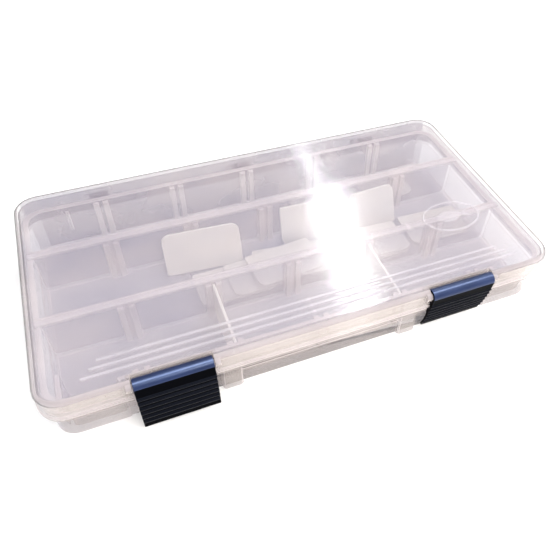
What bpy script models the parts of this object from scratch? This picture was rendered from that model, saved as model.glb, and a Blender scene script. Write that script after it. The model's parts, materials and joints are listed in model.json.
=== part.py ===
"""Flat utility box for fishing tackle, closed.

A clear compartment tray carries a clear lid on three snap hinges along its back
edge.  Two ribbed latches turn on rods moulded across notches in the lid's front
edge and reach down over a ledge on the tray.  Fifteen thin dividers fit between
pairs of ribs in the tray: two stand in the front row, the rest lie loose.

Units are metres, written as millimetres times MM.  +X runs along the box,
+Y towards the hinges and +Z up.  The box stands on z = 0.
"""

import math

import bmesh
import bpy
from mathutils import Euler

MM = 0.001

# ---- driving dimensions ----------------------------------------------------
LENGTH = 235.0 * MM            # lid, end to end
LID_DEPTH = 125.7 * MM         # lid, front face to back face
LATCH_REACH = 5.0 * MM         # the left latch, ajar, ahead of the lid's front face
HINGE_REACH = 4.15 * MM        # hinge hook behind the lid's back face
GAP = 0.3 * MM                 # between pieces that touch on the real box

FRONT = -(LID_DEPTH + LATCH_REACH + HINGE_REACH) / 2 + LATCH_REACH
BACK = FRONT + LID_DEPTH
SIDE = LENGTH / 2

CORNER = 11.0 * MM             # lid corner radius, in plan
CORNER_STEPS = 6

# lid
LID_TOP = 28.4 * MM
LID_WALL = 1.5 * MM
LIP = 0.4 * MM                 # bead round the bottom of the lid's skirt
SKIRT_BOTTOM = 18.05 * MM
LID_EDGE_RADIUS = 1.8 * MM
RIB_HEIGHT = 0.5 * MM
RIB_WIDTH = 1.3 * MM
EMBLEM_CENTRE = (84.0 * MM, FRONT + 41.5 * MM)
EMBLEM_HALF = (15.5 * MM, 10.5 * MM)
EMBLEM_HEIGHT = 0.35 * MM

# tray
FLOOR = 1.4 * MM
FLANGE_BOTTOM = 16.2 * MM
FLANGE_TOP = 17.75 * MM
RIM_TOP = 24.6 * MM            # top of the tray's outer wall, inside the lid
WALL_TOP = 26.2 * MM           # top of the two long walls
LONG_WALL = 2.0 * MM
LONG_WALL_BEAD = 4.0 * MM
WALL_ROWS = (FRONT + 44.4 * MM, FRONT + 85.4 * MM)
RECESS_HALF = 85.5 * MM        # half length of the recess in the tray's front
RECESS_LOWER = 4.6 * MM        # recess wall below the flange, behind the lid's front
RECESS_UPPER = 6.0 * MM        # and above the flange, inside the lid
RECESS_INNER = 7.6 * MM
SIDE_INNER = 5.9 * MM          # side walls, inner face, in from the lid's ends
BACK_INNER = 10.4 * MM         # back wall, inner face, ahead of the lid's back
POST_SPAN = (37.5 * MM, 46.6 * MM)

# slots for the dividers
COLUMN_PITCH = 38.5 * MM
COLUMNS = tuple(step * COLUMN_PITCH for step in (-2, -1, 0, 1, 2))
SLOT_HALF = 1.0 * MM           # half of the slot between a pair of ribs
SLOT_RIB = 2.6 * MM
SLOT_REACH = 2.0 * MM

# dividers
DIVIDER_THICK = 1.2 * MM
DIVIDER_HEIGHT = 22.0 * MM
DIVIDER_CORNER = 4.0 * MM

# latches
LATCH_X = 65.6 * MM
LATCH_WIDTH = 31.7 * MM
BARREL_Y = FRONT + 0.7 * MM
BARREL_Z = 25.4 * MM
BARREL_RADIUS = 3.1 * MM
BARREL_BORE = 1.65 * MM
LATCH_ROD = 1.5 * MM
LATCH_BOTTOM = 2.6 * MM
LATCH_AJAR = 18.0              # degrees the left latch stands open
NOTCH_CLEAR = 0.4 * MM
NOTCH_BACK = FRONT + 4.3 * MM
EAR_WIDTH = 2.4 * MM
LEDGE_SETBACK = 2.4 * MM       # latch ledge behind the lid's front face

# hinges
HINGE_X = (-77.0 * MM, 0.0, 77.0 * MM)
HINGE_Y = BACK + 2.2 * MM
HINGE_Z = 17.9 * MM
HINGE_ROD = 1.2 * MM
HOOK_BORE = 1.35 * MM
HOOK_RADIUS = 1.95 * MM
HOOK_WIDTH = 9.0 * MM
LUG_WIDTH = 2.6 * MM
HINGE_SIDE_GAP = 0.4 * MM


# ---- scene, materials and small helpers --------------------------------------
def clear_scene():
    for thing in list(bpy.data.objects):
        bpy.data.objects.remove(thing, do_unlink=True)


def plastic(name, colour, roughness, see_through):
    material = bpy.data.materials.new(name)
    material.use_nodes = True
    shader = material.node_tree.nodes["Principled BSDF"]
    shader.inputs["Base Color"].default_value = (*colour, 1.0)
    shader.inputs["Roughness"].default_value = roughness
    shader.inputs["Metallic"].default_value = 0.0
    shader.inputs["Transmission Weight"].default_value = see_through
    return material


def new_object(name, mesh_builder, material=None):
    """Turn a filled bmesh into an object with its faces pointing out."""
    bmesh.ops.recalc_face_normals(mesh_builder, faces=mesh_builder.faces)
    mesh = bpy.data.meshes.new(name)
    mesh_builder.to_mesh(mesh)
    mesh_builder.free()
    thing = bpy.data.objects.new(name, mesh)
    bpy.context.scene.collection.objects.link(thing)
    if material is not None:
        mesh.materials.append(material)
    return thing


def smooth(thing, angle=32.0):
    thing.data.shade_smooth()
    thing.data.set_sharp_from_angle(angle=math.radians(angle))


def combine(body, tool, operation):
    """Join a tool to a body, or cut it away; the tool stays as a hidden guide."""
    modifier = body.modifiers.new(tool.name, "BOOLEAN")
    modifier.operation = operation
    modifier.solver = "EXACT"
    modifier.object = tool
    tool.hide_render = True
    tool.display_type = "WIRE"


def arc(centre, radius, start, end, steps):
    """Points on an arc in a plane, angles in degrees."""
    points = []
    for step in range(steps + 1):
        angle = math.radians(start + (end - start) * step / steps)
        across = centre[0] + radius * math.cos(angle)
        up = centre[1] + radius * math.sin(angle)
        points.append((across, up))
    return points


def add_box(builder, low, high):
    """Add one closed box between two corners."""
    corners = []
    for z in (low[2], high[2]):
        for x, y in ((low[0], low[1]), (high[0], low[1]), (high[0], high[1]), (low[0], high[1])):
            corners.append(builder.verts.new((x, y, z)))
    builder.faces.new(corners[3::-1])
    builder.faces.new(corners[4:])
    for side in range(4):
        following = (side + 1) % 4
        builder.faces.new((corners[side], corners[following], corners[following + 4], corners[side + 4]))


def add_prism_x(builder, outline, x_low, x_high):
    """Add a closed prism along X; the outline is a list of (y, z)."""
    left = [builder.verts.new((x_low, y, z)) for y, z in outline]
    right = [builder.verts.new((x_high, y, z)) for y, z in outline]
    builder.faces.new(left)
    builder.faces.new(right[::-1])
    for index in range(len(outline)):
        following = (index + 1) % len(outline)
        builder.faces.new((left[index], right[index], right[following], left[following]))


def add_prism_z(builder, outline, z_low, z_high):
    """Add a closed prism along Z; the outline is a list of (x, y)."""
    low = [builder.verts.new((x, y, z_low)) for x, y in outline]
    high = [builder.verts.new((x, y, z_high)) for x, y in outline]
    builder.faces.new(low[::-1])
    builder.faces.new(high)
    for index in range(len(outline)):
        following = (index + 1) % len(outline)
        builder.faces.new((low[index], low[following], high[following], high[index]))


def rounded_rectangle(x_low, x_high, y_low, y_high, radius, steps):
    """Corner arcs of a rounded rectangle, anticlockwise from the front right."""
    points = []
    points += arc((x_high - radius, y_low + radius), radius, -90, 0, steps)
    points += arc((x_high - radius, y_high - radius), radius, 0, 90, steps)
    points += arc((x_low + radius, y_high - radius), radius, 90, 180, steps)
    points += arc((x_low + radius, y_low + radius), radius, 180, 270, steps)
    return points


def plan_ring(builder, side, front, back, radius, z):
    """One level of the box's plan, each edge set in from the lid's outline."""
    outline = rounded_rectangle(
        -SIDE + side, SIDE - side, FRONT + front, BACK - back, radius, CORNER_STEPS
    )
    return [builder.verts.new((x, y, z)) for x, y in outline]


def loft(builder, rings):
    """Skin a stack of rings and cap its two ends."""
    builder.faces.new(rings[0][::-1])
    for lower, upper in zip(rings, rings[1:]):
        for index in range(len(lower)):
            following = (index + 1) % len(lower)
            builder.faces.new((lower[index], lower[following], upper[following], upper[index]))
    builder.faces.new(rings[-1])


# ---- tray ----------------------------------------------------------------------
def tray_shell(material):
    """Outer wall, flange under the lid's skirt, inner wall and floor."""
    builder = bmesh.new()
    foot = 0.8 * MM
    fillet = 1.8 * MM
    rings = []
    for turn in (0, 30, 60, 90):
        angle = math.radians(turn)
        inward = foot * (1 - math.sin(angle))
        height = foot * (1 - math.cos(angle))
        rings.append(
            plan_ring(builder, 3.5 * MM + inward, 3.7 * MM + inward, 8.0 * MM + inward, 8.0 * MM, height)
        )
    rings.append(plan_ring(builder, 3.2 * MM, 3.3 * MM, 7.5 * MM, 8.8 * MM, FLANGE_BOTTOM))
    rings.append(plan_ring(builder, 0.2 * MM, 0.2 * MM, 0.2 * MM, CORNER, FLANGE_BOTTOM + 0.1 * MM))
    rings.append(plan_ring(builder, 0.2 * MM, 0.2 * MM, 0.2 * MM, CORNER, FLANGE_TOP))
    rings.append(plan_ring(builder, 3.1 * MM, 3.4 * MM, 7.4 * MM, 8.8 * MM, FLANGE_TOP))
    rings.append(plan_ring(builder, 3.3 * MM, 3.5 * MM, 7.6 * MM, 8.6 * MM, RIM_TOP))
    rings.append(plan_ring(builder, SIDE_INNER, 5.0 * MM, BACK_INNER, 7.1 * MM, RIM_TOP))
    for turn in (0, 30, 60, 90):
        angle = math.radians(turn)
        inward = fillet * (1 - math.cos(angle))
        height = FLOOR + fillet * (1 - math.sin(angle))
        side = SIDE_INNER + 0.2 * MM + inward
        back = BACK_INNER + 0.3 * MM + inward
        rings.append(plan_ring(builder, side, 5.6 * MM + inward, back, 6.8 * MM, height))
    loft(builder, rings)
    return new_object("tray", builder, material)


def recess_backing():
    """Thick bar inside the front wall, from which the recess is then cut."""
    builder = bmesh.new()
    low = (-RECESS_HALF - 1.5 * MM, FRONT + 4.1 * MM, 0.4 * MM)
    high = (RECESS_HALF + 1.5 * MM, FRONT + RECESS_INNER, RIM_TOP - 0.02 * MM)
    add_box(builder, low, high)
    return new_object("guide_recess_backing", builder)


def recess_cut():
    """Front recess, below the flange and again above it."""
    builder = bmesh.new()
    levels = (
        (-1.0 * MM, FLANGE_BOTTOM, RECESS_LOWER),
        (FLANGE_TOP - 0.05 * MM, RIM_TOP + 2.0 * MM, RECESS_UPPER),
    )
    for low_z, high_z, depth in levels:
        add_box(
            builder,
            (-RECESS_HALF, FRONT - 1.0 * MM, low_z),
            (RECESS_HALF, FRONT + depth, high_z),
        )
    return new_object("guide_recess_cut", builder)


def front_posts():
    """Posts on the inner side of each latch and the rail between them."""
    builder = bmesh.new()
    for sign in (-1, 1):
        low, high = sorted((sign * POST_SPAN[0], sign * POST_SPAN[1]))
        outline = rounded_rectangle(
            low, high, FRONT + 2.5 * MM, FRONT + RECESS_LOWER + 1.0 * MM, 1.4 * MM, 3
        )
        add_prism_z(builder, outline, 0.2 * MM, FLANGE_BOTTOM + 0.4 * MM)
    return new_object("guide_front_posts", builder)


def front_rail():
    """Thin shelf along the recess, from post to post."""
    builder = bmesh.new()
    reach = POST_SPAN[0] + 1.0 * MM
    add_box(
        builder,
        (-reach, FRONT + 3.6 * MM, 8.6 * MM),
        (reach, FRONT + RECESS_LOWER + 0.8 * MM, 9.8 * MM),
    )
    return new_object("guide_front_rail", builder)


def ledge_notches():
    """Set the flange back where each latch hook passes it."""
    builder = bmesh.new()
    half = LATCH_WIDTH / 2 + 0.8 * MM
    for sign in (-1, 1):
        add_box(
            builder,
            (sign * LATCH_X - half, FRONT - 1.0 * MM, FLANGE_BOTTOM - 1.0 * MM),
            (sign * LATCH_X + half, FRONT + LEDGE_SETBACK, FLANGE_TOP + 1.0 * MM),
        )
    return new_object("guide_ledge_notches", builder)


def long_walls():
    """Two walls that part the tray into three rows, each with a grooved bead on top."""
    builder = bmesh.new()
    reach = SIDE - 4.0 * MM
    neck = LONG_WALL / 2
    bead = LONG_WALL_BEAD / 2
    for row in WALL_ROWS:
        outline = [
            (row - neck, FLOOR - 0.5 * MM),
            (row + neck, FLOOR - 0.5 * MM),
            (row + neck, WALL_TOP - 2.4 * MM),
            (row + bead, WALL_TOP - 1.7 * MM),
            (row + bead, WALL_TOP - 0.3 * MM),
            (row + bead - 0.3 * MM, WALL_TOP),
            (row + 0.9 * MM, WALL_TOP),
            (row + 0.7 * MM, WALL_TOP - 0.5 * MM),
            (row + 0.3 * MM, WALL_TOP - 0.5 * MM),
            (row + 0.1 * MM, WALL_TOP),
            (row - bead + 0.3 * MM, WALL_TOP),
            (row - bead, WALL_TOP - 0.3 * MM),
            (row - bead, WALL_TOP - 1.7 * MM),
            (row - neck, WALL_TOP - 2.4 * MM),
        ]
        add_prism_x(builder, outline, -reach, reach)
    return new_object("guide_long_walls", builder)


def slot_faces():
    """Wall faces that carry slot ribs: (face y, direction of the rib)."""
    faces = [(FRONT + RECESS_INNER, 1)]
    for row in WALL_ROWS:
        faces.append((row - LONG_WALL / 2, -1))
        faces.append((row + LONG_WALL / 2, 1))
    faces.append((BACK - BACK_INNER, -1))
    return faces


def slot_ribs():
    """Pairs of upright ribs that hold a divider by its two ends."""
    builder = bmesh.new()
    top = RIM_TOP - 0.8 * MM
    for face, direction in slot_faces():
        y_low, y_high = sorted((face - direction * 0.45 * MM, face + direction * SLOT_REACH))
        for column in COLUMNS:
            for side in (-1, 1):
                x_low, x_high = sorted((column + side * SLOT_HALF, column + side * (SLOT_HALF + SLOT_RIB)))
                add_box(builder, (x_low, y_low, FLOOR - 0.4 * MM), (x_high, y_high, top))
    return new_object("guide_slot_ribs", builder)


def small_ribs():
    """Stub rib in the front left corner and a short one on the back wall."""
    builder = bmesh.new()
    add_box(
        builder,
        (-109.0 * MM, FRONT + 4.5 * MM, FLOOR - 0.4 * MM),
        (-107.1 * MM, FRONT + 17.5 * MM, RIM_TOP - 0.6 * MM),
    )
    face = BACK - BACK_INNER
    add_box(builder, (-94.3 * MM, face - 0.9 * MM, 10.0 * MM), (-93.1 * MM, face + 0.5 * MM, 22.0 * MM))
    return new_object("guide_small_ribs", builder)


def hinge_hooks():
    """Open rings on the tray's flange, each wrapped round a rod of the lid."""
    builder = bmesh.new()
    centre = (HINGE_Y, HINGE_Z)
    web_top = FLANGE_TOP - 0.05 * MM
    mouth = math.degrees(math.asin((web_top - HINGE_Z) / HOOK_BORE))
    outline = [(BACK - 1.6 * MM, web_top), (BACK - 1.6 * MM, HINGE_Z - HOOK_RADIUS)]
    outline += arc(centre, HOOK_RADIUS, -90, 50, 10)
    outline += arc(centre, HOOK_BORE, 50, -180 - mouth, 16)
    for station in HINGE_X:
        add_prism_x(builder, outline, station - HOOK_WIDTH / 2, station + HOOK_WIDTH / 2)
    return new_object("guide_hinge_hooks", builder)


def build_tray(material):
    tray = tray_shell(material)
    combine(tray, recess_backing(), "UNION")
    combine(tray, recess_cut(), "DIFFERENCE")
    combine(tray, ledge_notches(), "DIFFERENCE")
    combine(tray, front_posts(), "UNION")
    combine(tray, front_rail(), "UNION")
    combine(tray, long_walls(), "UNION")
    combine(tray, slot_ribs(), "UNION")
    combine(tray, small_ribs(), "UNION")
    combine(tray, hinge_hooks(), "UNION")
    smooth(tray)
    return tray


# ---- lid -----------------------------------------------------------------------
def lid_ring(builder, inset, z):
    return plan_ring(builder, inset, inset, inset, max(CORNER - inset, 2.0 * MM), z)


def lid_shell(material):
    """Flat top with a rounded edge and a skirt that ends in a small lip."""
    builder = bmesh.new()
    inner = LIP + LID_WALL
    rings = [
        lid_ring(builder, inner + 1.2 * MM, LID_TOP - LID_WALL),
        lid_ring(builder, inner + 0.3 * MM, LID_TOP - LID_WALL - 0.6 * MM),
        lid_ring(builder, inner, LID_TOP - LID_WALL - 1.8 * MM),
        lid_ring(builder, inner, SKIRT_BOTTOM),
        lid_ring(builder, 0.2 * MM, SKIRT_BOTTOM),
        lid_ring(builder, 0.0, SKIRT_BOTTOM + 0.3 * MM),
        lid_ring(builder, 0.0, SKIRT_BOTTOM + 1.2 * MM),
        lid_ring(builder, LIP, SKIRT_BOTTOM + 1.6 * MM),
    ]
    for turn in (0, 22.5, 45, 67.5, 90):
        angle = math.radians(turn)
        inset = LIP + LID_EDGE_RADIUS * (1 - math.cos(angle))
        rings.append(lid_ring(builder, inset, LID_TOP - LID_EDGE_RADIUS * (1 - math.sin(angle))))
    loft(builder, rings)
    return new_object("lid", builder, material)


def notch_linings():
    """Blocks behind the front edge that become the walls of the notches."""
    builder = bmesh.new()
    half = LATCH_WIDTH / 2 + NOTCH_CLEAR + 1.5 * MM
    for sign in (-1, 1):
        add_box(
            builder,
            (sign * LATCH_X - half, FRONT + 1.2 * MM, SKIRT_BOTTOM + 0.05 * MM),
            (sign * LATCH_X + half, NOTCH_BACK + 1.2 * MM, LID_TOP - 0.5 * MM),
        )
    return new_object("guide_notch_linings", builder)


def ear_outline():
    """Side view of an ear: a rounded nose round the rod, run back into the lid."""
    nose = LATCH_ROD + 0.7 * MM
    outline = [(FRONT + 3.0 * MM, BARREL_Z + nose)]
    outline += arc((BARREL_Y, BARREL_Z), nose, 90, 270, 8)
    outline += [(FRONT + 1.6 * MM, BARREL_Z - nose - 2.0 * MM), (FRONT + 3.0 * MM, BARREL_Z - nose - 2.0 * MM)]
    return outline


def latch_ears():
    builder = bmesh.new()
    inside = LATCH_WIDTH / 2 + NOTCH_CLEAR
    for sign in (-1, 1):
        for end in (-1, 1):
            x_low, x_high = sorted((end * inside, end * (inside + EAR_WIDTH)))
            add_prism_x(builder, ear_outline(), sign * LATCH_X + x_low, sign * LATCH_X + x_high)
    return new_object("guide_latch_ears", builder)


def notch_cuts():
    builder = bmesh.new()
    half = LATCH_WIDTH / 2 + NOTCH_CLEAR
    for sign in (-1, 1):
        add_box(
            builder,
            (sign * LATCH_X - half, FRONT - 4.0 * MM, SKIRT_BOTTOM - 1.0 * MM),
            (sign * LATCH_X + half, NOTCH_BACK, LID_TOP + 2.0 * MM),
        )
    return new_object("guide_notch_cuts", builder)


def latch_rods():
    builder = bmesh.new()
    half = LATCH_WIDTH / 2 + NOTCH_CLEAR + EAR_WIDTH / 2
    outline = arc((BARREL_Y, BARREL_Z), LATCH_ROD, 0, 360, 16)[:-1]
    for sign in (-1, 1):
        add_prism_x(builder, outline, sign * LATCH_X - half, sign * LATCH_X + half)
    return new_object("guide_latch_rods", builder)


def lid_ribs():
    """Three long ribs near the front, each a little longer than the last."""
    builder = bmesh.new()
    for row in range(3):
        y = FRONT + (15.4 - 3.5 * row) * MM
        half = (92.5 + 3.4 * row) * MM
        outline = rounded_rectangle(
            -half, half, y - RIB_WIDTH / 2, y + RIB_WIDTH / 2, 0.48 * RIB_WIDTH, 3
        )
        add_prism_z(builder, outline, LID_TOP - 0.3 * MM, LID_TOP + RIB_HEIGHT)
    return new_object("guide_lid_ribs", builder)


def ellipse(centre, half_x, half_y, steps):
    points = []
    for step in range(steps):
        angle = 2 * math.pi * step / steps
        points.append((centre[0] + half_x * math.cos(angle), centre[1] + half_y * math.sin(angle)))
    return points


def emblem_ring():
    """Raised oval frame of the plain emblem."""
    builder = bmesh.new()
    outer = ellipse(EMBLEM_CENTRE, *EMBLEM_HALF, 32)
    inner = ellipse(EMBLEM_CENTRE, EMBLEM_HALF[0] - 1.2 * MM, EMBLEM_HALF[1] - 1.2 * MM, 32)
    levels = (LID_TOP - 0.3 * MM, LID_TOP + EMBLEM_HEIGHT)
    loops = [[builder.verts.new((x, y, z)) for x, y in path] for z in levels for path in (outer, inner)]
    outer_low, inner_low, outer_high, inner_high = loops
    for index in range(len(outer)):
        following = (index + 1) % len(outer)
        for first, second in (
            (outer_low, outer_high),
            (outer_high, inner_high),
            (inner_high, inner_low),
            (inner_low, outer_low),
        ):
            builder.faces.new((first[index], first[following], second[following], second[index]))
    return new_object("guide_emblem_ring", builder)


def emblem_fish():
    """Raised outline of a plain fish: a lens-shaped body and a forked tail."""
    builder = bmesh.new()
    centre_x, centre_y = EMBLEM_CENTRE
    body_half = 7.0 * MM
    body_depth = 3.6 * MM
    outline = []
    for step in range(9):
        along = -1 + 2 * step / 8
        y = centre_y + body_depth * (1 - along * along)
        outline.append((centre_x - 1.5 * MM + body_half * along, y + 0.35 * MM))
    outline.append((centre_x + 10.0 * MM, centre_y + 3.4 * MM))
    outline.append((centre_x + 8.4 * MM, centre_y))
    outline.append((centre_x + 10.0 * MM, centre_y - 3.4 * MM))
    for step in range(8, 0, -1):
        along = -1 + 2 * step / 8
        y = centre_y - body_depth * (1 - along * along)
        outline.append((centre_x - 1.5 * MM + body_half * along, y - 0.35 * MM))
    add_prism_z(builder, outline[::-1], LID_TOP - 0.3 * MM, LID_TOP + EMBLEM_HEIGHT)
    return new_object("guide_emblem_fish", builder)


def hinge_lugs():
    """Lid lugs on both sides of each hook, with the hinge rod between them."""
    builder = bmesh.new()
    centre = (HINGE_Y, HINGE_Z)
    foot_z = SKIRT_BOTTOM + 0.05 * MM
    heel = 180 - math.degrees(math.asin((foot_z - HINGE_Z) / HOOK_RADIUS))
    outline = [(BACK - 1.0 * MM, HINGE_Z + 4.6 * MM), (BACK - 1.0 * MM, foot_z)]
    outline += arc(centre, HOOK_RADIUS, heel, 450, 14)
    inside = HOOK_WIDTH / 2 + HINGE_SIDE_GAP
    for station in HINGE_X:
        for end in (-1, 1):
            x_low, x_high = sorted((end * inside, end * (inside + LUG_WIDTH)))
            add_prism_x(builder, outline, station + x_low, station + x_high)
    return new_object("guide_hinge_lugs", builder)


def hinge_rods():
    builder = bmesh.new()
    half = HOOK_WIDTH / 2 + HINGE_SIDE_GAP + LUG_WIDTH / 2
    outline = arc((HINGE_Y, HINGE_Z), HINGE_ROD, 0, 360, 16)[:-1]
    for station in HINGE_X:
        add_prism_x(builder, outline, station - half, station + half)
    return new_object("guide_hinge_rods", builder)


def build_lid(material):
    lid = lid_shell(material)
    combine(lid, notch_linings(), "UNION")
    combine(lid, latch_ears(), "UNION")
    combine(lid, notch_cuts(), "DIFFERENCE")
    combine(lid, latch_rods(), "UNION")
    combine(lid, lid_ribs(), "UNION")
    combine(lid, emblem_ring(), "UNION")
    combine(lid, emblem_fish(), "UNION")
    combine(lid, hinge_lugs(), "UNION")
    combine(lid, hinge_rods(), "UNION")
    smooth(lid)
    return lid


# ---- latches -------------------------------------------------------------------
def latch_face(height):
    """Outer face of the latch at a height above its rod: it curls in lower down."""
    drop = -height / MM
    return (-BARREL_RADIUS / MM + 0.09 * drop + 0.0055 * drop * drop) * MM


def latch_outline():
    """Section of the latch as (y, z) about its rod: barrel, plate, grip and hook."""
    outline = arc((0.0, 0.0), BARREL_RADIUS, 5, 180, 16)
    ribs = 6
    pitch = 2.8 * MM
    first = 4.6 * MM
    for rib in range(ribs):
        top = -(first + rib * pitch)
        outline.append((latch_face(top), top))
        outline.append((latch_face(top - 0.5 * MM) - 0.5 * MM, top - 0.5 * MM))
        outline.append((latch_face(top - 1.1 * MM) - 0.5 * MM, top - 1.1 * MM))
        outline.append((latch_face(top - 1.6 * MM), top - 1.6 * MM))
    bottom = LATCH_BOTTOM - BARREL_Z
    outline.append((latch_face(bottom) - 0.3 * MM, bottom))
    outline.append((latch_face(bottom) + 0.9 * MM, bottom + 0.25 * MM))
    for lift in (1.4, 5.0):
        height = bottom + lift * MM
        outline.append((latch_face(height) + 1.0 * MM, height))
    hook = 14.8 * MM - BARREL_Z
    outline.append((latch_face(hook - 1.8 * MM) + 1.5 * MM, hook - 1.8 * MM))
    outline.append((latch_face(hook) + 2.8 * MM, hook - 0.3 * MM))
    outline.append((latch_face(hook) + 2.8 * MM, hook + 0.5 * MM))
    outline.append((latch_face(hook + 1.1 * MM) + 1.6 * MM, hook + 1.1 * MM))
    outline.append((latch_face(-5.6 * MM) + 1.7 * MM, -5.6 * MM))
    outline += arc((0.0, 0.0), BARREL_RADIUS, -75, -69, 1)
    outline += arc((0.0, 0.0), BARREL_BORE, -69, -355, 18)
    return outline


def build_latch(name, sign, ajar, material):
    builder = bmesh.new()
    add_prism_x(builder, latch_outline(), -LATCH_WIDTH / 2, LATCH_WIDTH / 2)
    latch = new_object(name, builder, material)
    latch.location = (sign * LATCH_X, BARREL_Y, BARREL_Z)
    latch.rotation_euler = Euler((math.radians(-ajar), 0.0, 0.0), "XYZ")
    smooth(latch)
    return latch


# ---- dividers --------------------------------------------------------------------
def divider_mesh(name, width, material):
    """Thin plate with two well-rounded bottom corners; X is its thickness."""
    builder = bmesh.new()
    half = width / 2
    low = -DIVIDER_HEIGHT / 2
    high = DIVIDER_HEIGHT / 2
    top_corner = 1.2 * MM
    outline = []
    outline += arc((half - DIVIDER_CORNER, low + DIVIDER_CORNER), DIVIDER_CORNER, -90, 0, 5)
    outline += arc((half - top_corner, high - top_corner), top_corner, 0, 90, 2)
    outline += arc((-half + top_corner, high - top_corner), top_corner, 90, 180, 2)
    outline += arc((-half + DIVIDER_CORNER, low + DIVIDER_CORNER), DIVIDER_CORNER, 180, 270, 5)
    add_prism_x(builder, outline, -DIVIDER_THICK / 2, DIVIDER_THICK / 2)
    bmesh.ops.recalc_face_normals(builder, faces=builder.faces)
    mesh = bpy.data.meshes.new(name)
    builder.to_mesh(mesh)
    builder.free()
    mesh.materials.append(material)
    return mesh


def row_bounds(row):
    """Clear span of a row in Y, from wall face to wall face."""
    faces = [FRONT + RECESS_INNER]
    for wall in WALL_ROWS:
        faces += [wall - LONG_WALL / 2, wall + LONG_WALL / 2]
    faces.append(BACK - BACK_INNER - 0.3 * MM)
    return faces[2 * row], faces[2 * row + 1]


def divider_width(row):
    low, high = row_bounds(row)
    return high - low - 2 * GAP


def place_divider(name, mesh, centre, turn):
    divider = bpy.data.objects.new(name, mesh)
    bpy.context.scene.collection.objects.link(divider)
    divider.location = centre
    divider.rotation_euler = Euler([math.radians(angle) for angle in turn], "XYZ")
    return divider


def standing_divider(name, mesh, row, column):
    low, high = row_bounds(row)
    height = FLOOR + GAP + DIVIDER_HEIGHT / 2
    return place_divider(name, mesh, (column, (low + high) / 2, height), (0, 0, 0))


def lying_stack(names, meshes, places, turns):
    """Dividers flat on the floor, one on another.

    places are (x, distance behind the lid's front) of their middles, in millimetres.
    """
    for level, name in enumerate(names):
        height = FLOOR + GAP + DIVIDER_THICK / 2 + level * (DIVIDER_THICK + GAP)
        x, y = places[level]
        place_divider(name, meshes[level], (x * MM, FRONT + y * MM, height), (0, 90, turns[level]))


def leaning_divider(name, mesh, top_edge, lean, turn, upside=0.0):
    """A divider whose upper long edge rests high and whose lower one is on the floor.

    top_edge is (x, distance behind the lid's front) of the middle of the top edge
    in millimetres, lean the angle in degrees from the floor, turn the heading of the
    edge in plan, and upside 180 for a divider whose rounded corners are uppermost.
    """
    rise = math.radians(lean)
    height = FLOOR + GAP + DIVIDER_HEIGHT / 2 * math.sin(rise) + DIVIDER_THICK / 2 * math.cos(rise)
    heading = math.radians(turn)
    back_off = -DIVIDER_HEIGHT / 2 * math.cos(rise)
    x = top_edge[0] * MM - back_off * math.sin(heading)
    y = FRONT + top_edge[1] * MM + back_off * math.cos(heading)
    divider = place_divider(name, mesh, (x, y, height), (0, 0, 0))
    tilt = Euler((0, math.radians(90 - lean), 0)).to_matrix()
    spin = Euler((0, 0, math.radians(turn + 90))).to_matrix()
    flip = Euler((math.radians(upside), 0, 0)).to_matrix()
    divider.rotation_euler = (spin @ tilt @ flip).to_euler()
    return divider


def build_dividers(material):
    front = divider_mesh("divider_front_row", divider_width(0), material)
    middle = divider_mesh("divider_middle_row", divider_width(1), material)
    back = divider_mesh("divider_back_row", divider_width(2), material)

    standing_divider("divider_front_2", front, 0, COLUMNS[1])
    standing_divider("divider_front_4", front, 0, COLUMNS[3])

    lying_stack(
        ["divider_loose_1", "divider_loose_2", "divider_loose_3", "divider_loose_4"],
        [middle, front, middle, front],
        [(-24.5, 58.9), (-10.0, 59.0), (6.5, 60.1), (2.0, 59.2)],
        [90.5, 92.0, 84.0, 95.0],
    )
    lying_stack(
        ["divider_loose_5", "divider_loose_6", "divider_loose_7"],
        [middle, back, front],
        [(50.0, 59.0), (56.0, 59.0), (46.0, 59.4)],
        [89.0, 94.0, 87.0],
    )
    lying_stack(["divider_loose_8"], [back], [(36.0, 101.0)], [86.0])
    lying_stack(["divider_loose_10"], [back], [(80.0, 100.8)], [93.0])
    lying_stack(["divider_loose_13"], [front], [(91.3, 62.0)], [88.0])
    leaning_divider("divider_loose_9", middle, (-35.0, 80.5), 69, -4, 180)
    leaning_divider("divider_loose_11", back, (21.0, 80.6), 74, -3)
    leaning_divider("divider_loose_12", back, (58.0, 80.3), 68, 4, 180)


# ---- assembly ----------------------------------------------------------------------
def main():
    clear_scene()
    clear_plastic = plastic("clear_plastic", (0.86, 0.84, 0.88), 0.18, 0.85)
    navy_plastic = plastic("navy_plastic", (0.010, 0.014, 0.060), 0.22, 0.0)
    frosted_plastic = plastic("frosted_plastic", (0.90, 0.88, 0.84), 0.35, 0.6)
    build_tray(clear_plastic)
    build_lid(clear_plastic)
    build_latch("latch_left", -1, LATCH_AJAR, navy_plastic)
    build_latch("latch_right", 1, 0.0, navy_plastic)
    build_dividers(frosted_plastic)


main()
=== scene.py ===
"""Looks of the closed tackle box: frosted clear tray and lid, two navy latches, fifteen dividers."""

import json
import math

import bmesh
import bpy
from mathutils import Matrix, Vector


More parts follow.
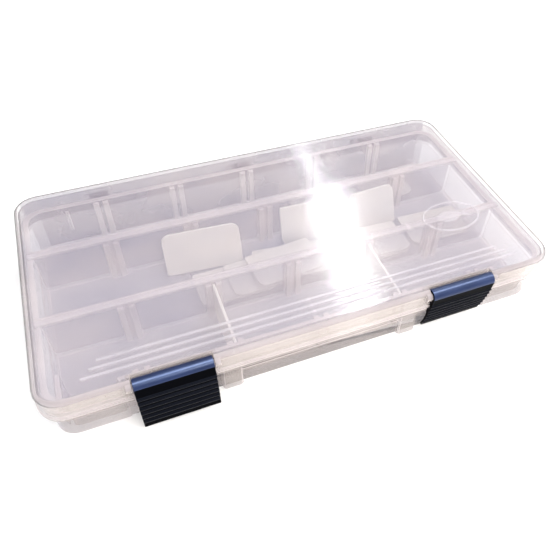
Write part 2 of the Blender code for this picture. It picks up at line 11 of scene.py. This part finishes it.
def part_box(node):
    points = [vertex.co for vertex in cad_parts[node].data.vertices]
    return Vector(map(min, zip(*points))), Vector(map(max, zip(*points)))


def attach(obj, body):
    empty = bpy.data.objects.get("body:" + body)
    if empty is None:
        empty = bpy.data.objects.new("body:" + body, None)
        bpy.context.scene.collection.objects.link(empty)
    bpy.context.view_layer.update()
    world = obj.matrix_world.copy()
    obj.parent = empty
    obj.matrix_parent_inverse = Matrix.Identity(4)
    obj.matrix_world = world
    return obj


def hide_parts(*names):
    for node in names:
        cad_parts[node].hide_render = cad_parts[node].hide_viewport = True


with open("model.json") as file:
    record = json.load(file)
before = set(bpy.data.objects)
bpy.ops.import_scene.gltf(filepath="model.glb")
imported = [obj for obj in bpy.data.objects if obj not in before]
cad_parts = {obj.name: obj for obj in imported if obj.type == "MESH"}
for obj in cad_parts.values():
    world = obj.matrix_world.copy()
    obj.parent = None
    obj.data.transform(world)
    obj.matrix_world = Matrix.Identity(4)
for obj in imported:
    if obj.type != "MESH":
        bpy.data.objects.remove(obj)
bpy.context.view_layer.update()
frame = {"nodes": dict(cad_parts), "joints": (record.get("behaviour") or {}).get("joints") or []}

MM = 0.001

# ---- places worked out from the frame --------------------------------------------
JOINTS = {joint["child"]: Vector(joint["pos_m"]) for joint in frame["joints"]}
TRAY_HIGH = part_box("tray")[1]
LID_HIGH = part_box("lid")[1]
FRONT = JOINTS["latch_right"].y - 0.7 * MM
BACK = JOINTS["lid"].y - 2.2 * MM
LID_TOP = LID_HIGH.z - 0.5 * MM
RIM_TOP = TRAY_HIGH.z - 1.6 * MM
COLUMN_PITCH = 38.5 * MM
COLUMNS = [step * COLUMN_PITCH for step in (-2, -1, 0, 1, 2)]
SLOT_FACES = [FRONT + 7.6 * MM, FRONT + 43.4 * MM, FRONT + 45.4 * MM]
SLOT_FACES += [FRONT + 84.4 * MM, FRONT + 86.4 * MM, BACK - 10.4 * MM]

# places of the materials in each clear piece
PANEL, EDGE, WALL, RIB_PAINTED_HIGHLIGHT, RELIEF, BACK_WALL_PAINTED_SHADE, LID_EDGE, FLOOR, SKIRT_PAINTED_WARM_LIGHT, FOOT_PAINTED_WARM_LIGHT = range(10)
# the plate places of the latch carry painted shade and painted highlight lines
BARREL, PLATE_PAINTED_SHADE, PLATE_EDGES_PAINTED_SHADE_AND_HIGHLIGHT = range(3)


# ---- node helpers ------------------------------------------------------------------
def add_node(tree, kind, **settings):
    """Add a shader node; sockets are set by name, other settings as attributes."""
    node = tree.nodes.new(kind)
    for name, value in settings.items():
        if name.startswith("in_"):
            node.inputs[name[3:].replace("_", " ")].default_value = value
        else:
            setattr(node, name, value)
    return node


def object_noise(tree, scale, detail, stretch=(1.0, 1.0, 1.0), turn=0.0):
    """Noise in object space, stretched and turned about Z when it stands for strokes."""
    place = add_node(tree, "ShaderNodeTexCoord")
    rotation = (0.0, 0.0, math.radians(turn))
    mapping = add_node(tree, "ShaderNodeMapping", in_Scale=stretch, in_Rotation=rotation)
    noise = add_node(tree, "ShaderNodeTexNoise", in_Scale=scale, in_Detail=detail)
    tree.links.new(place.outputs["Object"], mapping.inputs["Vector"])
    tree.links.new(mapping.outputs["Vector"], noise.inputs["Vector"])
    return noise.outputs["Fac"]


def spread(tree, source, low, high, to_low=0.0, to_high=1.0):
    """Map a stretch of a value to another one, clamped."""
    node = add_node(
        tree,
        "ShaderNodeMapRange",
        in_From_Min=low,
        in_From_Max=high,
        in_To_Min=to_low,
        in_To_Max=to_high,
    )
    tree.links.new(source, node.inputs["Value"])
    return node.outputs["Result"]


def blend(tree, factor, first, second):
    """Mix two colours; each is a colour or an output socket."""
    node = add_node(tree, "ShaderNodeMix", data_type="RGBA")
    tree.links.new(factor, node.inputs["Factor"])
    for value, socket in ((first, node.inputs[6]), (second, node.inputs[7])):
        if isinstance(value, tuple):
            socket.default_value = (*value, 1.0)
        else:
            tree.links.new(value, socket)
    return node.outputs[2]


def combined(tree, operation, first, second):
    node = add_node(tree, "ShaderNodeMath", operation=operation)
    tree.links.new(first, node.inputs[0])
    if isinstance(second, float):
        node.inputs[1].default_value = second
    else:
        tree.links.new(second, node.inputs[1])
    return node.outputs["Value"]


# ---- materials -----------------------------------------------------------------------
SHELL_GRAIN = 900.0
DIVIDER_GRAIN = 700.0
SKIN_RELIEF = 0.05
SKIN_DEPTH = 0.03 * MM
PLASTIC_IOR = 1.49
# painted dark reflection: the dark tint painted on the lid's rounded edge where it is seen at a glancing
# angle
PAINTED_DARK_REFLECTION = (0.02, 0.02, 0.025)
NAVY_SHEEN = (0.52, 0.66, 1.0, 1.0)


def clouded_colour(tree, clouds, worn, tint, haze):
    """Slow clouding and flow marks between two tints, with paler scratches."""
    flow = object_noise(tree, 9.0, 2.0, (1.0, 4.0, 4.0), 12.0)
    cloud_share = spread(tree, clouds, 0.3, 0.7, 0.0, 0.6)
    flow_share = spread(tree, flow, 0.35, 0.65, 0.0, 0.4)
    cloudy = blend(tree, combined(tree, "ADD", cloud_share, flow_share), tint, haze)
    pale = tuple(min(1.0, channel * 1.12) for channel in haze)
    return blend(tree, combined(tree, "MULTIPLY", worn, 0.45), cloudy, pale)


def hairline_scratches(tree):
    """Fine scratches along the box and across it."""
    along = object_noise(tree, 240.0, 3.0, (0.04, 1.0, 1.0), 17.0)
    across = object_noise(tree, 260.0, 3.0, (1.0, 0.05, 1.0), -23.0)
    return combined(tree, "MAXIMUM", spread(tree, along, 0.66, 0.74), spread(tree, across, 0.67, 0.75))


def scuffed_gloss(tree, skin, clouds, worn, roughness):
    """Roughness that drifts with the skin and the clouding, duller on scratches."""
    fine = spread(tree, skin, 0.3, 0.7, roughness - 0.03, roughness - 0.01)
    slow = spread(tree, clouds, 0.3, 0.7, 0.0, 0.05)
    gloss = combined(tree, "ADD", fine, slow)
    return combined(tree, "ADD", gloss, combined(tree, "MULTIPLY", worn, 0.12))


def frosted_plastic(name, tint, haze, alpha, roughness, grain=SHELL_GRAIN, shine=0.5, rim=None):
    """Clear polypropylene: cloudy tint, fine skin, hairline scratches and a soft sheen.

    tint and haze are the ends of the clouding; rim is a painted dark reflection, the dark tint
    of a rounded edge where it is seen at a glancing angle.
    """
    material = bpy.data.materials.new(name)
    material.use_nodes = True
    tree = material.node_tree
    shader = tree.nodes["Principled BSDF"]
    clouds = object_noise(tree, 45.0, 4.0)
    skin = object_noise(tree, grain, 2.0)
    worn = hairline_scratches(tree)

    colour = clouded_colour(tree, clouds, worn, tint, haze)
    # painted dark reflection: the rim tint is mixed in where the surface is seen at a glancing angle
    if rim:
        glancing = add_node(tree, "ShaderNodeLayerWeight", in_Blend=0.35).outputs["Facing"]
        colour = blend(tree, spread(tree, glancing, 0.24, 0.50), colour, rim)
    tree.links.new(colour, shader.inputs["Base Color"])
    tree.links.new(scuffed_gloss(tree, skin, clouds, worn, roughness), shader.inputs["Roughness"])

    bump = add_node(tree, "ShaderNodeBump", in_Strength=SKIN_RELIEF, in_Distance=SKIN_DEPTH)
    tree.links.new(combined(tree, "ADD", skin, worn), bump.inputs["Height"])
    tree.links.new(bump.outputs["Normal"], shader.inputs["Normal"])
    shader.inputs["Alpha"].default_value = alpha
    shader.inputs["IOR"].default_value = PLASTIC_IOR
    shader.inputs["Specular IOR Level"].default_value = shine
    return material


def navy_plastic(name, deep, light, worn_colour, roughness, shine):
    """Moulded dark blue with faint flow marks and rubbed high spots."""
    material = bpy.data.materials.new(name)
    material.use_nodes = True
    tree = material.node_tree
    shader = tree.nodes["Principled BSDF"]
    clouds = object_noise(tree, 90.0, 4.0)
    strokes = object_noise(tree, 500.0, 3.0, (0.06, 1.0, 1.0), 8.0)
    worn = spread(tree, strokes, 0.62, 0.74)
    body = blend(tree, spread(tree, clouds, 0.3, 0.7), deep, light)
    colour = blend(tree, combined(tree, "MULTIPLY", worn, 0.35), body, worn_colour)
    tree.links.new(colour, shader.inputs["Base Color"])
    gloss = spread(tree, clouds, 0.3, 0.7, roughness - 0.04, roughness + 0.06)
    scuffed = combined(tree, "ADD", gloss, combined(tree, "MULTIPLY", worn, 0.15))
    tree.links.new(scuffed, shader.inputs["Roughness"])
    bump = add_node(tree, "ShaderNodeBump", in_Strength=0.25, in_Distance=0.0001)
    tree.links.new(strokes, bump.inputs["Height"])
    tree.links.new(bump.outputs["Normal"], shader.inputs["Normal"])
    shader.inputs["Specular Tint"].default_value = NAVY_SHEEN
    shader.inputs["Specular IOR Level"].default_value = shine
    return material


# ---- meshes ----------------------------------------------------------------------------
WELD = 0.06 * MM
FLAT_ANGLE = math.radians(1.0)
CORNER_ANGLE = math.radians(24)
TRAY_ROUND = 0.2 * MM
LID_ROUND = 0.16 * MM
LATCH_ROUND = 0.22 * MM
DIVIDER_ROUND = 0.28 * MM
SLOT_HALF_WIDTH = 3.8 * MM
SLOT_DEPTH = 2.3 * MM
BACK_BAND = 11.0 * MM
FRONT_BAND = 6.1 * MM
LEDGE_BAND = 2.4 * MM
LID_EDGE_BAND = 2.2 * MM
BARREL_REACH = 3.35 * MM


def fine_copy(node, name, width, materials, sort_face=None):
    """A CAD node as a finer mesh: flat faces whole again and every edge rounded."""
    builder = bmesh.new()
    builder.from_mesh(frame["nodes"][node].data)
    bmesh.ops.remove_doubles(builder, verts=builder.verts, dist=WELD)
    bmesh.ops.dissolve_limit(
        builder, angle_limit=FLAT_ANGLE, verts=builder.verts, edges=builder.edges
    )
    for face in builder.faces:
        face.material_index = PANEL
        face.smooth = True
    corners = [edge for edge in builder.edges if edge.calc_face_angle(0.0) > CORNER_ANGLE]
    bmesh.ops.bevel(
        builder,
        geom=corners,
        offset=width,
        offset_type="OFFSET",
        segments=2,
        profile=0.5,
        affect="EDGES",
        clamp_overlap=False,
        # the rounded faces take the edge material, whose paler tint is painted highlight
        material=EDGE if len(materials) > 1 else PANEL,
    )
    if sort_face:
        for face in builder.faces:
            face.material_index = sort_face(face)
    bmesh.ops.triangulate(builder, faces=[face for face in builder.faces if len(face.verts) > 4])
    mesh = bpy.data.meshes.new(name)
    builder.to_mesh(mesh)
    builder.free()
    piece = bpy.data.objects.new(name, mesh)
    bpy.context.scene.collection.objects.link(piece)
    for material in materials:
        mesh.materials.append(material)
    mesh.shade_smooth()
    weigh = piece.modifiers.new("weigh", "WEIGHTED_NORMAL")
    weigh.keep_sharp = False
    return piece


def near_slot(point):
    """Whether a point lies on one of the rib pairs that hold a divider."""
    by_column = any(abs(point.x - column) < SLOT_HALF_WIDTH for column in COLUMNS)
    return by_column and any(abs(point.y - face) < SLOT_DEPTH for face in SLOT_FACES)


def tray_face(face):
    """The place of a tray face's material, from where it lies and which way it looks."""
    middle = face.calc_center_median()
    # hinge lugs take the paler edge material: painted light over the shade at the back
    if face.material_index == EDGE or middle.y > BACK + 0.1 * MM:
        return EDGE
    # the back band of the tray takes a darker tint: painted shade
    if middle.y > BACK - BACK_BAND and (abs(face.normal.z) < 0.5 or middle.z > 10.0 * MM):
        return BACK_WALL_PAINTED_SHADE
    if middle.z < 4.0 * MM and face.normal.z > 0.3 or middle.z < 0.5 * MM:
        return FLOOR
    # front outer band of the tray: warmer tint, painted warm light
    if middle.y < FRONT + FRONT_BAND:
        return FOOT_PAINTED_WARM_LIGHT
    # rim and wall tops take the paler edge material: painted highlight
    if middle.z > RIM_TOP - LEDGE_BAND and face.normal.z > 0.5:
        return EDGE
    # slot ribs take the paler rib material: painted highlight
    if near_slot(middle) and middle.z > 2.0 * MM and abs(face.normal.z) < 0.5:
        return RIB_PAINTED_HIGHLIGHT
    return PANEL if abs(face.normal.z) > 0.7 else WALL


def lid_face(face):
    """The same for the lid: raised ribs and emblem, rounded rim, plate and skirt."""
    middle = face.calc_center_median()
    if middle.z > LID_TOP + 0.05 * MM:
        return RELIEF
    if middle.z > LID_TOP - LID_EDGE_BAND and 0.02 < abs(face.normal.z) < 0.995:
        return LID_EDGE
    # the lid's other rounded faces and its lugs take the paler edge material: painted highlight
    if face.material_index == EDGE or middle.y > BACK + 0.1 * MM:
        return EDGE
    # the back band of the lid takes the darker tint: painted shade
    if middle.y > BACK - 4.0 * MM and middle.z < LID_TOP - 1.0 * MM:
        return BACK_WALL_PAINTED_SHADE
    # the lid's outer walls: warmer tint, painted warm light
    return PANEL if abs(face.normal.z) > 0.9 else SKIRT_PAINTED_WARM_LIGHT


def latch_face(face):
    """The barrel is glossy; the plate below it, with its grip ribs, is duller and painted near-black shade,
    its rib edges a little lighter as painted highlight lines.
    """
    middle = face.calc_center_median()
    hinges = (JOINTS["latch_left"], JOINTS["latch_right"])
    hinge = min(hinges, key=lambda place: abs(place.x - middle.x))
    reach = math.hypot(middle.y - hinge.y, middle.z - hinge.z)
    if reach < BARREL_REACH:
        return BARREL
    # painted shade on the plate below the barrel; painted highlight lines on its rib edges
    return PLATE_EDGES_PAINTED_SHADE_AND_HIGHLIGHT if face.material_index == EDGE else PLATE_PAINTED_SHADE


def clear_materials():
    """One material for each place named above, in that order."""
    return [
        frosted_plastic("clear_panel", (0.38, 0.36, 0.46), (0.57, 0.51, 0.54), 0.22, 0.13, shine=1.0),
        # paler tint on rounded edges is painted highlight; the higher alpha stands in for thicker plastic
        # seen edge-on
        frosted_plastic("clear_edge_painted_highlight", (0.66, 0.59, 0.60), (0.84, 0.77, 0.76), 0.62, 0.20),
        frosted_plastic("clear_wall", (0.44, 0.42, 0.51), (0.74, 0.68, 0.69), 0.30, 0.24),
        # paler tint on the slot ribs is painted highlight
        frosted_plastic("clear_rib_painted_highlight", (0.68, 0.62, 0.62), (0.86, 0.79, 0.78), 0.48, 0.24),
        frosted_plastic("clear_relief", (0.52, 0.49, 0.56), (0.72, 0.68, 0.72), 0.38, 0.22, shine=0.6),
        # darker tint on the back band is painted shade
        frosted_plastic("clear_back_painted_shade", (0.25, 0.21, 0.28), (0.49, 0.43, 0.45), 0.50, 0.24, shine=0.3),
        # the lid's rounded edge: its dark tint and the glancing rim tint are a painted dark reflection
        frosted_plastic(
            "clear_lid_edge_painted_dark_reflection", (0.36, 0.32, 0.34), (0.50, 0.45, 0.46), 0.66, 0.25, shine=0.15, rim=PAINTED_DARK_REFLECTION
        ),
        frosted_plastic("clear_floor", (0.26, 0.23, 0.33), (0.54, 0.48, 0.52), 0.26, 0.24),
        # warmer, paler tint on the lid's outer walls is painted warm light
        frosted_plastic("clear_skirt_painted_warm_light", (0.60, 0.53, 0.50), (0.79, 0.72, 0.68), 0.34, 0.22),
        # warmer tint on the tray's front band is painted warm light
        frosted_plastic("clear_foot_painted_warm_light", (0.42, 0.37, 0.35), (0.56, 0.50, 0.46), 0.38, 0.24),
    ]


def frost_materials():
    return [
        frosted_plastic(
            "divider_frost_face", (0.92, 0.86, 0.80), (1.0, 0.98, 0.95), 0.57, 0.34, DIVIDER_GRAIN
        ),
        frosted_plastic(
            "divider_frost_edge", (0.90, 0.85, 0.80), (0.98, 0.95, 0.91), 0.78, 0.30, DIVIDER_GRAIN
        ),
    ]


def navy_materials():
    """Barrel, grip and the rounded edges of the grip, in that order; the grip is painted near-black shade
    and its rounded edges carry painted highlight lines.
    """
    return [
        navy_plastic(
            "latch_barrel", (0.002, 0.006, 0.036), (0.004, 0.012, 0.065), (0.01, 0.03, 0.10), 0.32, 0.7
        ),
        # painted shade: the plate is the same navy plastic as the barrel, painted near-black as it stands in
        # shade
        navy_plastic(
            "latch_plate_painted_shade",
            (0.0004, 0.0004, 0.0007),
            (0.0008, 0.0008, 0.0014),
            (0.003, 0.003, 0.006),
            0.42,
            0.02,
        ),
        # painted highlight lines on the grip's rib edges, over painted shade
        navy_plastic(
            "latch_plate_edges_painted_shade_and_highlight", (0.0016, 0.0016, 0.003), (0.004, 0.004, 0.006), (0.02, 0.02, 0.03), 0.35, 0.12
        ),
    ]


def build_pieces():
    clear = clear_materials()
    frost = frost_materials()
    navy = navy_materials()
    tray = fine_copy("tray", "clear_tray", TRAY_ROUND, clear, tray_face)
    lid = fine_copy("lid", "clear_lid", LID_ROUND, clear, lid_face)
    for piece, node in ((tray, "tray"), (lid, "lid")):
        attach(piece, node)
        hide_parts(node)
    for node in ("latch_left", "latch_right"):
        piece = fine_copy(node, node + "_moulded", LATCH_ROUND, navy, latch_face)
        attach(piece, node)
        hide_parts(node)
    for node in sorted(frame["nodes"]):
        if node.startswith("divider"):
            piece = fine_copy(node, node + "_moulded", DIVIDER_ROUND, frost)
            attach(piece, "tray")
            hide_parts(node)


# ---- camera, floor and light -------------------------------------------------------------
PLACE = Vector((-0.07006, -0.19628, 0.22412))
AIM = Vector((0.01208, -0.01758, 0.015))
SENSOR = 36.0
LENS = 38.07
SHIFT = (-0.0639, -0.0249)
ROLL = math.radians(3.46)
STRIP_HEIGHT = 0.8
FLOOR_SIZE = 6.0
FLOOR_DROP = 0.5 * MM
FLOOR_TONE = (0.95, 0.95, 0.95, 1.0)
FLOOR_ROUGHNESS = 0.9
WARM_WHITE = (1.0, 0.97, 0.93)
LAMP_WARM = (1.0, 0.93, 0.84)
WHITE = (1.0, 1.0, 1.0)
WORLD_LEAN = (0.30, -0.50, 0.81)
WORLD_DIM = 0.35
WORLD_BRIGHT = 1.23


def build_camera():
    data = bpy.data.cameras.new("camera")
    data.sensor_width = SENSOR
    data.lens = LENS
    data.shift_x, data.shift_y = SHIFT
    data.clip_start = 0.01
    camera = bpy.data.objects.new("camera", data)
    bpy.context.scene.collection.objects.link(camera)
    back = (PLACE - AIM).normalized()
    right = Vector((0, 0, 1)).cross(back).normalized()
    up = back.cross(right)
    turned_right = right * math.cos(ROLL) + up * math.sin(ROLL)
    turned_up = up * math.cos(ROLL) - right * math.sin(ROLL)
    basis = Matrix((turned_right, turned_up, back)).transposed().to_4x4()
    camera.matrix_world = Matrix.Translation(PLACE) @ basis
    bpy.context.scene.camera = camera


def area_light(name, place, aim, size, power, colour, along=None):
    """A rectangular soft light; its long side lies along a given direction."""
    data = bpy.data.lights.new(name, "AREA")
    data.shape = "RECTANGLE"
    data.size, data.size_y = size
    data.energy = power
    data.color = colour
    light = bpy.data.objects.new(name, data)
    bpy.context.scene.collection.objects.link(light)
    back = (place - aim).normalized()
    along = along or Vector((0, 0, 1))
    right = along.cross(back).normalized()
    up = back.cross(right)
    basis = Matrix((right, up, back)).transposed().to_4x4()
    light.matrix_world = Matrix.Translation(place) @ basis
    return light


def mirrored(point, height):
    """Where the reflection of a height above the lid shows at a point on the lid."""
    ray = point - PLACE
    ray.z = -ray.z
    return point + ray * ((height - point.z) / ray.z)


def studio_world():
    """A pale room: bright above, in front and to the right, dim low down at the back."""
    world = bpy.data.worlds.new("studio")
    world.use_nodes = True
    tree = world.node_tree
    place = add_node(tree, "ShaderNodeTexCoord")
    lean = add_node(tree, "ShaderNodeVectorMath", operation="DOT_PRODUCT")
    lean.inputs[1].default_value = WORLD_LEAN
    tree.links.new(place.outputs["Generated"], lean.inputs[0])
    strength = spread(tree, lean.outputs["Value"], -0.35, 0.45, WORLD_DIM, WORLD_BRIGHT)
    tree.links.new(strength, tree.nodes["Background"].inputs["Strength"])
    tree.nodes["Background"].inputs["Color"].default_value = (1.0, 1.0, 1.0, 1.0)
    return world


def build_stage():
    bpy.ops.mesh.primitive_plane_add(size=FLOOR_SIZE, location=(0, 0, -FLOOR_DROP))
    floor = bpy.context.object
    floor.name = "floor"
    material = bpy.data.materials.new("floor")
    material.use_nodes = True
    shader = material.node_tree.nodes["Principled BSDF"]
    shader.inputs["Base Color"].default_value = FLOOR_TONE
    shader.inputs["Roughness"].default_value = FLOOR_ROUGHNESS
    floor.data.materials.append(material)
    bpy.context.scene.world = studio_world()


def strip_light(name, far, near, width, power):
    """A strip high behind the box whose reflection lies between two points on the lid."""
    far_end = mirrored(far, STRIP_HEIGHT)
    near_end = mirrored(near, STRIP_HEIGHT)
    along = far_end - near_end
    area_light(
        name, (far_end + near_end) / 2, (far + near) / 2, (width, along.length), power, WHITE, along
    )


def build_lights():
    strip_light(
        "strip_far", Vector((0.034, 0.056, LID_TOP)), Vector((0.030, 0.004, LID_TOP)), 0.03, 0.55
    )
    strip_light(
        "strip_near", Vector((0.028, 0.000, LID_TOP)), Vector((0.016, -0.066, LID_TOP)), 0.08, 2.8
    )
    crest = area_light(
        "crest", Vector((0.08, -0.05, 0.40)), Vector((0.08, -0.066, 0.02)), (0.50, 0.14), 3.6, WHITE
    )
    crest.visible_diffuse = False
    area_light(
        "front", Vector((0.03, -0.25, 0.32)), Vector((0, -0.02, 0)), (0.20, 0.12), 0.8, WARM_WHITE
    )
    area_light("right", Vector((0.9, -0.5, 0.5)), Vector((0.05, 0, 0)), (0.5, 0.5), 3.0, LAMP_WARM)


bpy.context.scene.view_settings.view_transform = "Standard"
bpy.context.scene.cycles.transparent_max_bounces = 40
build_camera()
build_stage()
build_lights()
build_pieces()
